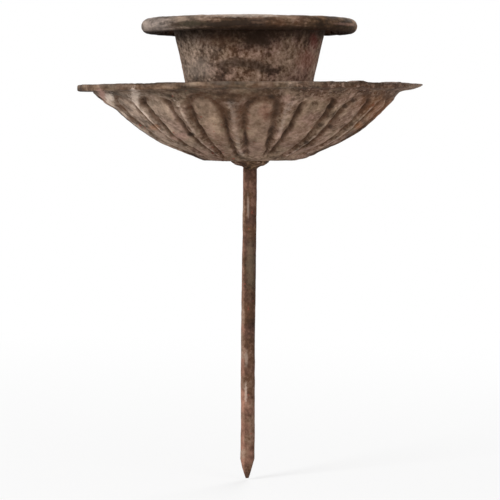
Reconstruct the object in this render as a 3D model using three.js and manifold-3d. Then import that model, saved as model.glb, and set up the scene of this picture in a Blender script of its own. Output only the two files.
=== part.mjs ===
// A taper candle holder on a spike, of the kind that is pushed into a wreath or flower foam.
// A drawn sheet-metal cup with a flange and a rolled edge stands in a pressed drip pan with
// sixteen raised petals. A wire nail goes down through both floors, its head over a washer in
// the cup, and a weld under the pan locks it there. The nail's shank is the spike.
//
// Millimetres, Z up. The origin is on the axis, in the plane of the pan's flat underside.
import * as THREE from "three";
import { mergeVertices } from "three/addons/utils/BufferGeometryUtils.js";
import Module from "manifold-3d";

const wasm = await Module();
wasm.setup();

// Driving dimensions of the drip pan
const PAN_SHEET = 1.6;
const BOWL_RADIUS = 38.6;
const LIP_HEIGHT = 18;
const LIP_RADIUS = 44.2;
const LIP_CORNER = 0.6;
const LIP_EDGE_ROUND = 0.4;

// Driving dimensions of the petals pressed into the bowl. Each takes the same share of its
// sixteenth of the way round at every height, and the strip between two petals has the rest.
const PETAL_COUNT = 16;
const PETAL_TURN_DEG = 3.6;
const PETAL_SHARE = 0.62;
const PETAL_ARCH = 4.2;
const PETAL_TOP_MARGIN = 1.4;
const PETAL_FOOT_MARGIN = 2.2;
const GROOVE_WIDTH = 1.7;
const GROOVE_DEPTH = 0.7;

// Driving dimensions of the candle cup
const CUP_SHEET = 0.8;
const CUP_HEIGHT = 34.6;
const CUP_BASE_RADIUS = 13.4;
const CUP_BASE_ROUND = 2.4;
const THROAT_RADIUS = 19.5;
const THROAT_ROUND = 1.8;
const FLANGE_RADIUS = 27.5;
const ROLL_RADIUS = 1.75;
const ROLL_END_DEG = -190;

// Driving dimensions of the nail, its washer and the weld
const SHANK_RADIUS = 1.7;
const SPIKE_REACH = 82.5;
const POINT_LENGTH = 5;
const POINT_TIP_RADIUS = 0.3;
const HEAD_RADIUS = 3.75;
const HEAD_THICKNESS = 1.2;
const HEAD_CHAMFER = 0.3;
const WASHER_RADIUS = 6;
const WASHER_THICKNESS = 1;
const WELD_RADIUS = 5;
const WELD_HEIGHT = 2.2;
const WELD_TOE = 0.3;

// Gaps between pieces that touch or nest, how far the pan's flat runs past the cup's, and
// where the bare flat begins beyond the weld and the washer
const SHANK_CLEARANCE = 0.25;
const WIRE_CLEARANCE = 0.2;
const SEAT_MARGIN = 0.9;
const LAND_MARGIN = 0.4;

// How finely round shapes are faceted
const CUP_SEGMENTS = 48;
const SMALL_SEGMENTS = 24;
const CURVE_STEPS = 5;
const ROUND_STEPS = 3;
const ROLL_STEPS = 9;
const WIRE_SIDES = 6;

// Where the wall curves bend: shares of their own gain in radius and in height
const BOWL_BEND = { gain: 0.61, rise: 0.25 };
const CUP_BEND = { gain: 0.66, rise: 0.78 };

// How much of a strip's room its groove's flank may take, so that strips never cross
const STRIP_EDGE_SHARE = 0.8;

// Sizes worked out from the ones above
const HOLE_RADIUS = SHANK_RADIUS + SHANK_CLEARANCE;
const PAN_FLOOR_TOP = PAN_SHEET;
const PAN_FLOOR_RADIUS = CUP_BASE_RADIUS - CUP_BASE_ROUND + SEAT_MARGIN;
const CUP_FLOOR_TOP = PAN_FLOOR_TOP + CUP_SHEET;
const CUP_TOP = PAN_FLOOR_TOP + CUP_HEIGHT;
const WASHER_TOP = CUP_FLOOR_TOP + WASHER_THICKNESS;
const ROLL_CENTRE = new THREE.Vector2(FLANGE_RADIUS - ROLL_RADIUS, CUP_TOP - ROLL_RADIUS);
const ROLL_BORE_RADIUS = ROLL_RADIUS - CUP_SHEET;

const point = (radius, height) => new THREE.Vector2(radius, height);

// Points on a circle's arc, from one angle to another, both included
function arc(centre, radius, fromDeg, toDeg, steps) {
  return Array.from({ length: steps + 1 }, (_, i) => {
    const angle = THREE.MathUtils.degToRad(fromDeg + ((toDeg - fromDeg) * i) / steps);
    return point(centre.x + radius * Math.cos(angle), centre.y + radius * Math.sin(angle));
  });
}

// A wall's curve from its foot to its head, which bends at a share of its gain and rise
function wallCurve(foot, head, bend) {
  const control = point(
    foot.x + bend.gain * (head.x - foot.x),
    foot.y + bend.rise * (head.y - foot.y),
  );
  return new THREE.QuadraticBezierCurve(foot, control, head);
}

// The point of a curve at share t, moved to its left by a distance
function offsetPoint(curve, t, distance) {
  const along = curve.getTangent(t);
  return curve.getPoint(t).add(point(-along.y, along.x).multiplyScalar(distance));
}

// A ring or solid of revolution about Z from a closed profile of radius and height
function turned(profile, segments) {
  const geometry = new THREE.LatheGeometry([...profile, profile[0]], segments);
  return geometry.rotateX(Math.PI / 2);
}

// The same shape as a manifold-3d solid, and back again
function solid(geometry) {
  const bare = new THREE.BufferGeometry().setAttribute("position", geometry.getAttribute("position"));
  bare.setIndex(geometry.index);
  const merged = mergeVertices(bare, 1e-4);
  return new wasm.Manifold(
    new wasm.Mesh({
      numProp: 3,
      vertProperties: merged.attributes.position.array,
      triVerts: new Uint32Array(merged.index.array),
    }),
  );
}

function geometryOf(manifold) {
  const mesh = manifold.getMesh();
  return new THREE.BufferGeometry()
    .setAttribute("position", new THREE.BufferAttribute(mesh.vertProperties, mesh.numProp))
    .setIndex(new THREE.BufferAttribute(mesh.triVerts, 1));
}

function named(name, geometry, colour, roughness, metalness) {
  const material = new THREE.MeshStandardMaterial({ color: colour, roughness, metalness });
  const mesh = new THREE.Mesh(geometry, material);
  geometry.computeVertexNormals();
  mesh.name = name;
  return mesh;
}

// The drip pan's bowl, seen in section: its outer side from the floor up to the lip
const bowl = wallCurve(point(PAN_FLOOR_RADIUS, 0), point(BOWL_RADIUS, LIP_HEIGHT - LIP_CORNER), BOWL_BEND);
const ARCH_TOP = bowl.getLength() - PETAL_TOP_MARGIN;
const ARCH_FOOT = ARCH_TOP - PETAL_ARCH;

// One row of the petal relief, at a distance along the bowl: half the widths of the petal at its
// groove and inside its groove, where the strip between two petals begins, and how deep these lie
function petalRow(along) {
  const t = along / bowl.getLength();
  const radius = bowl.getPoint(t).x;
  const halfPitch = (Math.PI * radius) / PETAL_COUNT;
  const flank = GROOVE_WIDTH / 2;
  const inArch = THREE.MathUtils.clamp((along - ARCH_FOOT) / PETAL_ARCH, 0, 1);
  const half = Math.max(PETAL_SHARE * halfPitch * Math.sqrt(1 - inArch * inArch), flank);
  const stripShare = Math.min(1, (halfPitch - half) / flank);
  const pressed = along > PETAL_FOOT_MARGIN && along < ARCH_TOP + flank;
  const depth = pressed ? GROOVE_DEPTH : 0;
  return {
    t,
    groove: half / radius,
    shoulder: Math.max(half - flank, half / 3) / radius,
    strip: (half + stripShare * flank * STRIP_EDGE_SHARE) / radius,
    depth,
    stripDepth: depth * (1 - stripShare),
    crownDepth: inArch < 1 ? 0 : depth,
  };
}

// Rows from the bowl's foot to its head, with one at each end of the grooves' sloping flanks
function petalRows() {
  const flank = GROOVE_WIDTH / 2;
  const grooveFoot = PETAL_FOOT_MARGIN + flank;
  const straight = [0, 0.25, 0.5, 0.75, 1].map((share) => grooveFoot + share * (ARCH_FOOT - grooveFoot));
  const arched = [ARCH_FOOT + PETAL_ARCH * 0.5, ARCH_TOP - flank, ARCH_TOP, ARCH_TOP + flank];
  return [0, PETAL_FOOT_MARGIN, ...straight, ...arched, bowl.getLength()].map(petalRow);
}

// The angles round one petal from its middle, and how deep the sheet is pressed in at each
function petalColumns(row) {
  return [
    [-row.strip, row.stripDepth],
    [-row.groove, row.depth],
    [-row.shoulder, row.crownDepth],
    [0, row.crownDepth],
    [row.shoulder, row.crownDepth],
    [row.groove, row.depth],
    [row.strip, row.stripDepth],
  ];
}

// A closed ring of rows round the axis becomes one mesh: each row is a list of [x, y, z].
// The squares' diagonals are mirrored about each petal's middle, so that its two sides match.
function loopedMesh(rows) {
  const columns = rows[0].length;
  const columnsPerPetal = columns / PETAL_COUNT;
  const positions = rows.flat(2);
  const index = [];
  rows.forEach((_, i) => {
    const next = (i + 1) % rows.length;
    for (let j = 0; j < columns; j += 1) {
      const right = (j + 1) % columns;
      const [a, b] = [i * columns + j, i * columns + right];
      const [c, d] = [next * columns + right, next * columns + j];
      const leftHalf = j % columnsPerPetal < (columnsPerPetal - 1) / 2;
      index.push(...(leftHalf ? [a, b, d, b, c, d] : [a, b, c, a, c, d]));
    }
  });
  return new THREE.BufferGeometry()
    .setAttribute("position", new THREE.Float32BufferAttribute(positions, 3))
    .setIndex(index);
}

function dripPanGeometry() {
  const turn = THREE.MathUtils.degToRad(PETAL_TURN_DEG - 90);
  const sector = (2 * Math.PI) / PETAL_COUNT;
  const plain = petalRow(ARCH_FOOT);
  const place = (radius, height, angle) => [radius * Math.cos(angle), radius * Math.sin(angle), height];
  const ring = (columns, where) =>
    Array.from({ length: PETAL_COUNT }, (_, petal) =>
      columns.map(([angle, depth]) => place(...where(depth), turn + petal * sector + angle)),
    ).flat();
  const flatRing = (radius, height) => ring(petalColumns(plain), () => [radius, height]);
  const pressedRing = (row, distance) =>
    ring(petalColumns(row), (depth) => {
      const p = offsetPoint(bowl, row.t, distance + depth);
      return [p.x, p.y];
    });
  const rows = petalRows();
  const lipTop = LIP_HEIGHT + PAN_SHEET;
  const innerHead = offsetPoint(bowl, 1, PAN_SHEET);
  const floorEdge = offsetPoint(bowl, 0, PAN_SHEET).x;
  return loopedMesh([
    flatRing(HOLE_RADIUS, 0),
    flatRing(WELD_RADIUS + LAND_MARGIN, 0),
    ...rows.map((row) => pressedRing(row, 0)),
    flatRing(BOWL_RADIUS + LIP_CORNER, LIP_HEIGHT),
    flatRing(LIP_RADIUS - LIP_EDGE_ROUND, LIP_HEIGHT),
    flatRing(LIP_RADIUS, LIP_HEIGHT + LIP_EDGE_ROUND),
    flatRing(LIP_RADIUS, lipTop - LIP_EDGE_ROUND),
    flatRing(LIP_RADIUS - LIP_EDGE_ROUND, lipTop),
    flatRing(innerHead.x + 2 * LIP_CORNER, lipTop),
    ...rows.slice(1).reverse().map((row) => pressedRing(row, PAN_SHEET)),
    flatRing(floorEdge, PAN_FLOOR_TOP),
    flatRing(HOLE_RADIUS, PAN_FLOOR_TOP),
  ]);
}

// The candle cup in section: floor, flared wall, flange and an edge rolled under round a wire
function candleCupGeometry() {
  const baseCentre = point(CUP_BASE_RADIUS - CUP_BASE_ROUND, PAN_FLOOR_TOP + CUP_BASE_ROUND);
  const flangeUnderside = CUP_TOP - CUP_SHEET;
  const throatCentre = point(THROAT_RADIUS + THROAT_ROUND, flangeUnderside - THROAT_ROUND);
  const wall = wallCurve(
    point(CUP_BASE_RADIUS, baseCentre.y),
    point(THROAT_RADIUS, throatCentre.y),
    CUP_BEND,
  );
  const steps = Array.from({ length: CURVE_STEPS - 1 }, (_, i) => (i + 1) / CURVE_STEPS);
  const outside = [
    point(HOLE_RADIUS, PAN_FLOOR_TOP),
    ...arc(baseCentre, CUP_BASE_ROUND, -90, 0, ROUND_STEPS),
    ...steps.map((t) => wall.getPoint(t)),
    ...arc(throatCentre, THROAT_ROUND, 180, 90, ROUND_STEPS),
  ];
  const roll = [
    ...arc(ROLL_CENTRE, ROLL_BORE_RADIUS, 90, ROLL_END_DEG, ROLL_STEPS),
    ...arc(ROLL_CENTRE, ROLL_RADIUS, ROLL_END_DEG, 90, ROLL_STEPS),
  ];
  const inside = [
    ...arc(throatCentre, THROAT_ROUND + CUP_SHEET, 90, 180, ROUND_STEPS),
    ...steps.reverse().map((t) => offsetPoint(wall, t, CUP_SHEET)),
    ...arc(baseCentre, CUP_BASE_ROUND - CUP_SHEET, 0, -90, ROUND_STEPS),
    point(WASHER_RADIUS + LAND_MARGIN, CUP_FLOOR_TOP),
    point(HOLE_RADIUS, CUP_FLOOR_TOP),
  ];
  return turned([...outside, ...roll, ...inside], CUP_SEGMENTS);
}

// The wire that the cup's edge is rolled round
function rimWireGeometry() {
  const radius = ROLL_BORE_RADIUS - WIRE_CLEARANCE;
  const section = arc(ROLL_CENTRE, radius, 0, 360, WIRE_SIDES).slice(0, WIRE_SIDES);
  return turned(section, CUP_SEGMENTS);
}

function headWasherGeometry() {
  return turned(
    [
      point(HOLE_RADIUS, CUP_FLOOR_TOP),
      point(WASHER_RADIUS, CUP_FLOOR_TOP),
      point(WASHER_RADIUS, WASHER_TOP),
      point(HOLE_RADIUS, WASHER_TOP),
    ],
    SMALL_SEGMENTS,
  );
}

// The nail: a round head and shank, cut to a four-sided point by a long pyramid
function nailSpikeGeometry() {
  const headTop = WASHER_TOP + HEAD_THICKNESS;
  const profile = [
    point(0, -SPIKE_REACH),
    point(SHANK_RADIUS, -SPIKE_REACH),
    point(SHANK_RADIUS, WASHER_TOP),
    point(HEAD_RADIUS, WASHER_TOP),
    point(HEAD_RADIUS, headTop - HEAD_CHAMFER),
    point(HEAD_RADIUS - HEAD_CHAMFER, headTop),
    point(0, headTop),
  ];
  const nail = new THREE.LatheGeometry(profile, SMALL_SEGMENTS).rotateX(Math.PI / 2);
  const height = SPIKE_REACH + headTop + HEAD_RADIUS;
  const growth = (SHANK_RADIUS - POINT_TIP_RADIUS) / POINT_LENGTH;
  const cornerAtTip = POINT_TIP_RADIUS * Math.SQRT2;
  const cornerAtTop = (POINT_TIP_RADIUS + growth * height) * Math.SQRT2;
  const pyramid = new THREE.CylinderGeometry(cornerAtTop, cornerAtTip, height, 4);
  pyramid.rotateY(Math.PI / 4).rotateX(Math.PI / 2);
  pyramid.translate(0, 0, height / 2 - SPIKE_REACH);
  return geometryOf(solid(nail).intersect(solid(pyramid)));
}

// The weld in the corner between the pan's underside and the shank, a mound with a hollow foot
function weldBeadGeometry() {
  const toe = HOLE_RADIUS + WELD_TOE;
  const swell = (WELD_RADIUS - toe) / 2;
  const mound = [1, 0.8, 0.6, 0.4, 0.2, 0].map((share) =>
    point(toe + swell * (1 + Math.cos(share * Math.PI)), -WELD_HEIGHT * share),
  );
  return turned([point(HOLE_RADIUS, 0), point(HOLE_RADIUS, -WELD_HEIGHT), ...mound], SMALL_SEGMENTS);
}

const holder = new THREE.Group();
holder.add(
  named("drip_pan", dripPanGeometry(), 0x6e594c, 0.85, 0.3),
  named("candle_cup", candleCupGeometry(), 0x655248, 0.85, 0.3),
  named("rim_wire", rimWireGeometry(), 0x4a3b33, 0.7, 0.6),
  named("head_washer", headWasherGeometry(), 0x5b4a41, 0.8, 0.4),
  named("nail_spike", nailSpikeGeometry(), 0x6b5144, 0.75, 0.4),
  named("weld_bead", weldBeadGeometry(), 0x4b3d31, 0.8, 0.4),
);

export default holder;
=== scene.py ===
import itertools
import math

import bpy
import numpy as np
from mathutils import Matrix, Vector


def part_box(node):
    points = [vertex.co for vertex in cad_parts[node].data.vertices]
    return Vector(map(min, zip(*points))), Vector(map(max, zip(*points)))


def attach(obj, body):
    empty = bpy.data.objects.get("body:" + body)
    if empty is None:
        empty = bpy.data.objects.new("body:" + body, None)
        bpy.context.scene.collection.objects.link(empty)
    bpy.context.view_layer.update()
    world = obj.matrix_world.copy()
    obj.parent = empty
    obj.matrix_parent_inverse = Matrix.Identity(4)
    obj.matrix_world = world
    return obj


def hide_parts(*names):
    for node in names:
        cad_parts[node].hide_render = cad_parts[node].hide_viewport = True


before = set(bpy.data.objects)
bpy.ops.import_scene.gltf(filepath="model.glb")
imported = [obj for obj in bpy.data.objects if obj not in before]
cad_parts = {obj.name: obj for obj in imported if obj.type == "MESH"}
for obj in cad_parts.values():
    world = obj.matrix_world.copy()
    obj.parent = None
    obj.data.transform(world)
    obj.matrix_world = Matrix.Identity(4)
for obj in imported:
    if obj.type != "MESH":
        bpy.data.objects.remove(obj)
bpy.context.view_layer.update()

MM = 0.001

# The camera: a little under the pan's lip and tilted down to the holder's middle. Its sensor's
# width is in millimetres.
CAMERA_DISTANCE = 560 * MM
CAMERA_HEIGHT = 10.5 * MM
FRAME_HEIGHT = 129 * MM
SENSOR_WIDTH = 36.0

# The light: a white world, and round lamps aimed at the origin, by place, width and watts
WORLD_STRENGTH = 0.23
LAMPS = {
    "key": ((-0.6, -0.55, 0.33), 0.35, 6.5),
    "fill": ((0.5, -0.6, 0.1), 0.6, 2.7),
    "back": ((0.3, 0.7, 0.45), 0.6, 5.6),
}

# The floor: its size, how far it is below the spike's point, how pale it is, and the distances
# from the origin between which the share of plain white in it grows
FLOOR_SIZE = 8
FLOOR_DROP = 0.5 * MM
FLOOR_GREY = 0.85
FLOOR_WHITE_FROM = 100 * MM
FLOOR_WHITE_TO = 400 * MM
FLOOR_WHITE_SHARES = (0.7, 1.0)

# What the frame says
_, pan_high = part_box("drip_pan")
cup_low, cup_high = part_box("candle_cup")
nail_low, nail_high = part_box("nail_spike")
washer_low, washer_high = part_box("head_washer")
weld_low, weld_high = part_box("weld_bead")

# The drip pan
LIP_RADIUS = 44.2 * MM
LIP_TOP = pan_high[2]
PAN_SHEET = 1.6 * MM
LIP_HEIGHT = LIP_TOP - PAN_SHEET
LIP_CORNER = 0.6 * MM
LIP_FILLET = 2.5 * MM
LIP_EDGE_ROUND = 0.4 * MM
BOWL_RADIUS = 38.6 * MM
PAN_FLOOR_RADIUS = 11.9 * MM
BOWL_BEND = (0.61, 0.25)
PAN_HOLE_RADIUS = 1.75 * MM
PAN_COLUMNS = 512

# Where the lip isn't even: how much, in which direction and over how wide a reach, in degrees.
# Right is 0, the front is -90 and left is 180.
LIP_SAGS = ((0.22 * MM, 180, 45), (0.36 * MM, 228, 32), (0.2 * MM, -36, 8))
LIP_BUMPS = ((0.35 * MM, -51.8, 1.5), (0.25 * MM, -33, 1.5))
LIP_WAVE = 0.08 * MM
LIP_WAVE_OVER_STRIPS = 0.06 * MM
LIP_EDGE_WAVE = 0.12 * MM
WEDGE = (0, 32)
WEDGE_UNDERSIDE_RISE = 1.35 * MM
WEDGE_TOP_DROP = 0.1 * MM

# Where the bowl's outline isn't even: out on the left under the lip, in on the right there, and
# out on the right at the foot. Each starts at one height, is full from the next to the third, and
# is gone at the last.
LEFT_BULGE = (1.4 * MM, 183, 22)
LEFT_BULGE_HEIGHTS = (12.9 * MM, 15 * MM, 17.4 * MM, 18.2 * MM)
RIGHT_DENT = (0.5 * MM, -3, 24)
RIGHT_DENT_HEIGHTS = (15.3 * MM, 16.5 * MM, 17.8 * MM, 18.4 * MM)
RIGHT_HEEL = (1.1 * MM, 0, 40)
RIGHT_HEEL_HEIGHTS = (0.1 * MM, 0.5 * MM, 1.2 * MM, 2.4 * MM)

# The petals: each takes a share of its sixteenth of the way round. Those on the front differ, counted
# from the one nearest to the middle: degrees off their even spacing, how far the top leans to the
# right, how much higher the arch is on its right, and how open the groove is round its top.
PETAL_COUNT = 16
PETAL_TURN = math.radians(3.6 - 90)
PETAL_SHARE = 0.62
PETAL_ARCH = 3.6 * MM
PETAL_TOP_MARGIN = 1.5 * MM
PETAL_TOP_LEAST_MARGIN = 1.0 * MM
PETAL_FOOT_MARGIN = 1.6 * MM
FRONT_PETALS = {
    -3: (2.6, 0.8 * MM, 0.0, 0.4),
    -2: (0.7, 0.2 * MM, -0.1, 0.55),
    -1: (0.2, 0.3 * MM, -0.3, 0.35),
    0: (0.8, -0.4 * MM, 0.25, 0.1),
    1: (0.4, 0.8 * MM, 0.2, 0.9),
    2: (-0.4, 0.2 * MM, 0.1, 0.6),
    3: (-0.6, 0.0, 0.0, 0.4),
}
# The middle petal also ends lower than the others, and widens less towards its top
MIDDLE_SHORTER = 1.0 * MM
MIDDLE_STRAIGHTER = 0.27
# The petals behind differ by chance, by up to this much: degrees, lean, slant and openness
BACK_PETALS = (0.8, 0.4 * MM, 0.25, 0.8)

# The grooves round the petals, the raised strips between them, and how far the wall is set in
GROOVE_DEPTH = 1.0 * MM
GROOVE_SHARE = 0.31
STRIP_RISE = 0.28 * MM
WALL_SET_IN = 0.3 * MM
FOOT_SET_IN = 0.25 * MM

# How unevenly the petals are pressed, and the radius of the cylinder that the noise is taken on
PETAL_EDGE_WANDER = 0.35 * MM
PETAL_TOP_WANDER = 0.4 * MM
PETAL_WIDTH_VARIES = 0.04
WANDER_RADIUS = 28 * MM

# The candle cup
CUP_SHEET = 0.8 * MM
CUP_BASE_RADIUS = 13.4 * MM
CUP_BASE_ROUND = 2.4 * MM
THROAT_RADIUS = 19.5 * MM
THROAT_ROUND = 1.8 * MM
ROLL_RADIUS = 1.85 * MM
CUP_BEND = (0.66, 0.78)
CUP_COLUMNS = 432

# The cup isn't even either: its flange waves and tilts, and its left stands out. The painted shade
# under the flange grows between two heights, and leaves more of the left front clear.
FLANGE_WAVE = 0.12 * MM
FLANGE_TILT = 0.003
CUP_LEFT_BULGE = (0.35 * MM, 180, 60)
CUP_SHADE_FROM = 27 * MM
CUP_SHADE_TO = 34 * MM
CUP_CLEAR = (0.8 * MM, 212, 36)

# The nail, whose rust makes it a little thicker below the weld. It leans left, and its point more.
SHANK_RADIUS = 1.7 * MM
COAT = 0.12 * MM
POINT_LENGTH = 5 * MM
POINT_BLUNT = 0.34 * MM
HEAD_RADIUS = nail_high[0]
HEAD_ROUND = 0.3 * MM
SPIKE_LEAN = 0.55 * MM
POINT_LEAN = 0.2 * MM
AXIS_RADIUS = 0.02 * MM

# The washer and the weld, and the play between a hole and the shank
WASHER_BEVEL = 0.15 * MM
WELD_OVERLAP = 0.1 * MM
HOLE_PLAY = 0.1 * MM

# The surface: the size of its swells, grain and pits, the depth of the shaders' bump, and a weak
# gloss
SWELL_SIZE = 7 * MM
GRAIN_SIZE = 1.5 * MM
PIT_SIZE = 1.9 * MM
BUMP_DEPTH = 0.3 * MM
SPECULAR_LEVEL = 0.15

NOISE_CELLS = 32
CURVE_STEPS = 400


def smooth_step(low, high, value):
    """0 on the low side, 1 on the high side and a smooth slope between"""
    share = np.clip((value - low) / (high - low), 0, 1)
    return share * share * (3 - 2 * share)


def near(angle, middle_deg, reach_deg):
    """1 at one direction round the axis, fading to 0 on both sides of it"""
    off = (angle - math.radians(middle_deg) + math.pi) % (2 * math.pi) - math.pi
    return np.exp(-((off / math.radians(reach_deg)) ** 2))


def between(value, start, full, fading, gone):
    """0 outside a range and 1 inside it, with a smooth slope at both ends"""
    return smooth_step(start, full, value) * smooth_step(gone, fading, value)


def local(angle, *swells):
    """The sum of swells, each so much in one direction and over one reach"""
    return sum(much * near(angle, middle_deg, reach_deg) for much, middle_deg, reach_deg in swells)


def lumps(points, size, seed):
    """Smooth noise from -1 to 1 at points, with lumps about size across"""
    table = np.random.default_rng(seed).uniform(-1, 1, (NOISE_CELLS,) * 3)
    cell = points / size
    low = np.floor(cell).astype(int)
    part = cell - low
    part = part * part * (3 - 2 * part)
    total = np.zeros(points.shape[:-1])
    for corner in itertools.product((0, 1), repeat=3):
        weight = np.prod(np.where(corner, part, 1 - part), axis=-1)
        cells = np.moveaxis((low + np.array(corner)) % NOISE_CELLS, -1, 0)
        total += weight * table[tuple(cells)]
    return total


def rough(points, size, seed, octaves=3):
    """Noise with finer and finer lumps added, each layer half as strong"""
    layers = [lumps(points, size / 2**n, seed + n) / 2**n for n in range(octaves)]
    return sum(layers)


def bezier(foot, head, bend, count):
    """Points of a wall's section, its inward side at each and the way along it, by equal steps"""
    foot, head = np.array(foot), np.array(head)
    control = foot + np.array(bend) * (head - foot)
    fine = np.linspace(0, 1, CURVE_STEPS)[:, None]
    curve = (1 - fine) ** 2 * foot + 2 * fine * (1 - fine) * control + fine**2 * head
    steps = np.linalg.norm(np.diff(curve, axis=0), axis=1)
    length = np.concatenate([[0], np.cumsum(steps)])
    along = np.linspace(0, length[-1], count)
    place = np.stack([np.interp(along, length, curve[:, n]) for n in (0, 1)], axis=1)
    heading = np.gradient(place, axis=0)
    heading /= np.linalg.norm(heading, axis=1)[:, None]
    inward = np.stack([-heading[:, 1], heading[:, 0]], axis=1)
    return place, inward, along


def arc(centre, radius, start_deg, end_deg, count):
    """Points of a section on a circle"""
    angle = np.radians(np.linspace(start_deg, end_deg, count))
    return np.stack([centre[0] + radius * np.cos(angle), centre[1] + radius * np.sin(angle)], axis=1)


def line(start, end, count):
    """Points of a section on a straight line"""
    return np.linspace(start, end, count)


def around(section, angle):
    """Points of radius and height, turned about Z into a grid of rows and columns"""
    radius, height = section[..., 0], section[..., 1]
    return np.stack([radius * np.cos(angle), radius * np.sin(angle), height + 0 * angle], axis=-1)


def turns(columns):
    """Directions round the axis, by equal steps"""
    return np.linspace(0, 2 * math.pi, columns, endpoint=False)[None, :]


def from_axis(grid):
    """How far each point is from the axis"""
    return np.hypot(grid[..., 0], grid[..., 1])


def grid_normals(grid):
    """The outward side of a closed grid of rows and columns"""
    down = np.roll(grid, -1, axis=0) - np.roll(grid, 1, axis=0)
    across = np.roll(grid, -1, axis=1) - np.roll(grid, 1, axis=1)
    normal = np.cross(across, down)
    return normal / np.maximum(np.linalg.norm(normal, axis=-1), 1e-12)[..., None]


def roughened(grid, swell, grain, pits, seed):
    """The grid with slow swells, fine grain and pits, and how hollow each point came out"""
    slow = swell * rough(grid, SWELL_SIZE, seed, 2)
    fine = rough(grid, GRAIN_SIZE, seed + 10, 3)
    pitted = smooth_step(0.3, 0.75, lumps(grid, PIT_SIZE, seed + 20))
    hole = SHANK_RADIUS + HOLE_PLAY
    free = smooth_step(hole, hole + 4 * MM, from_axis(grid))
    shift = (slow + grain * fine - pits * pitted) * free
    hollow = 0.5 * smooth_step(0.2, 0.9, -fine) + 0.5 * pitted
    return grid + shift[..., None] * grid_normals(grid), hollow


def grid_piece(name, grid, marks, material, replaced):
    """A closed grid of rows and columns becomes a smooth mesh that carries its marks"""
    rows, columns = grid.shape[:2]
    row, column = np.meshgrid(np.arange(rows), np.arange(columns), indexing="ij")
    below, right = (row + 1) % rows, (column + 1) % columns
    corners = [(row, column), (row, right), (below, right), (below, column)]
    faces = np.stack([down * columns + across for down, across in corners], axis=-1).reshape(-1, 4)
    mesh = bpy.data.meshes.new(name)
    mesh.from_pydata(grid.reshape(-1, 3), [], faces.tolist())
    mesh.polygons.foreach_set("use_smooth", np.ones(len(faces), dtype=bool))
    for mark, values in marks.items():
        layer = mesh.attributes.new(mark, "FLOAT", "POINT")
        layer.data.foreach_set("value", np.clip(values, 0, 1).astype(np.float32).ravel())
    mesh.materials.append(material)
    mesh.update()
    piece = bpy.data.objects.new(name, mesh)
    bpy.context.collection.objects.link(piece)
    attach(piece, "root")
    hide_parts(replaced)


def petal_traits():
    """How each petal differs from an even one: listed for the front, by chance behind"""
    chance = np.random.default_rng(11)
    most = np.array(BACK_PETALS[:3])[:, None]
    shift, lean, slant = chance.uniform(-1, 1, (3, PETAL_COUNT)) * most
    opened = chance.uniform(0, BACK_PETALS[3], PETAL_COUNT)
    for number, traits in FRONT_PETALS.items():
        shift[number], lean[number], slant[number], opened[number] = traits
    return np.radians(shift), lean, slant, opened


def petal_relief(angle, along, radius, length):
    """How deep the sheet is pressed in, and the shares of groove, petal, strip and rim, on the bowl"""
    sector = 2 * math.pi / PETAL_COUNT
    angle, along, radius = np.broadcast_arrays(angle, along, radius)
    number = np.round((angle - PETAL_TURN) / sector)
    petal = number.astype(int) % PETAL_COUNT
    wider = np.random.default_rng(12).uniform(-1, 1, PETAL_COUNT)
    shift, lean, slant, opened = (trait[petal] for trait in petal_traits())
    half_pitch = sector / 2 * radius
    sideways = (angle - PETAL_TURN - number * sector - shift) * radius - lean * (2 * along / length - 1)
    wander = around(np.stack([WANDER_RADIUS + 0 * radius, along], axis=-1), angle)
    sideways = sideways + PETAL_EDGE_WANDER * rough(wander, 3.2 * MM, 21, 3)
    middle = petal == 0
    arch_top = length - PETAL_TOP_MARGIN - MIDDLE_SHORTER * middle
    arch_top = arch_top + slant * sideways + PETAL_TOP_WANDER * rough(wander, 4 * MM, 61, 2)
    arch_top = np.minimum(arch_top, length - PETAL_TOP_LEAST_MARGIN)
    straighter = MIDDLE_STRAIGHTER * middle * (0.5 - along / length)
    half = PETAL_SHARE * half_pitch * (1 + PETAL_WIDTH_VARIES * wider[petal] + straighter)
    in_arch = np.maximum(0, along - (arch_top - PETAL_ARCH)) / PETAL_ARCH
    reach = np.sqrt((sideways / half) ** 2 + in_arch**2)
    slope = np.sqrt((sideways / half**2) ** 2 + (in_arch / PETAL_ARCH) ** 2)
    outside = np.where(slope > 1, (reach - 1) * reach / np.maximum(slope, 1), -half)
    foot = smooth_step(PETAL_FOOT_MARGIN, PETAL_FOOT_MARGIN + 3 * MM, along)
    room = (1 - PETAL_SHARE) * half_pitch
    spread = GROOVE_SHARE * room * (1 + 0.45 * rough(wander, 3 * MM, 31, 3))
    # The groove's dark mark: paint gathered in the groove with painted shade of its hollow, and a wider
    # band of painted shade round it
    groove = np.exp(-((outside / spread) ** 2))
    groove_shade = np.exp(-((outside / (1.9 * spread)) ** 2))
    strength = 0.9 + 0.4 * rough(wander, 4 * MM, 41, 2) - opened * smooth_step(0.35, 0.95, in_arch)
    strength = np.clip(strength, 0, 1.2) * foot
    petal_share = smooth_step(0, -1 * MM, outside) * foot
    below_rim = smooth_step(length, length - 4 * MM, along)
    strip = smooth_step(0.35, 1.0, outside / room) * foot * below_rim
    set_in = WALL_SET_IN * foot * below_rim
    set_in = set_in + FOOT_SET_IN * between(along, 0, 3 * MM, 7 * MM, 13 * MM)
    depth = GROOVE_DEPTH * groove * strength + set_in - STRIP_RISE * strip
    rim = smooth_step(arch_top - 0.5 * MM, arch_top + 1 * MM, along)
    dark = (0.62 * groove + 0.38 * groove_shade) * strength * (0.7 + 0.3 * smooth_step(4 * MM, 13 * MM, along))
    return depth, dark, petal_share, strip, rim


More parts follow.
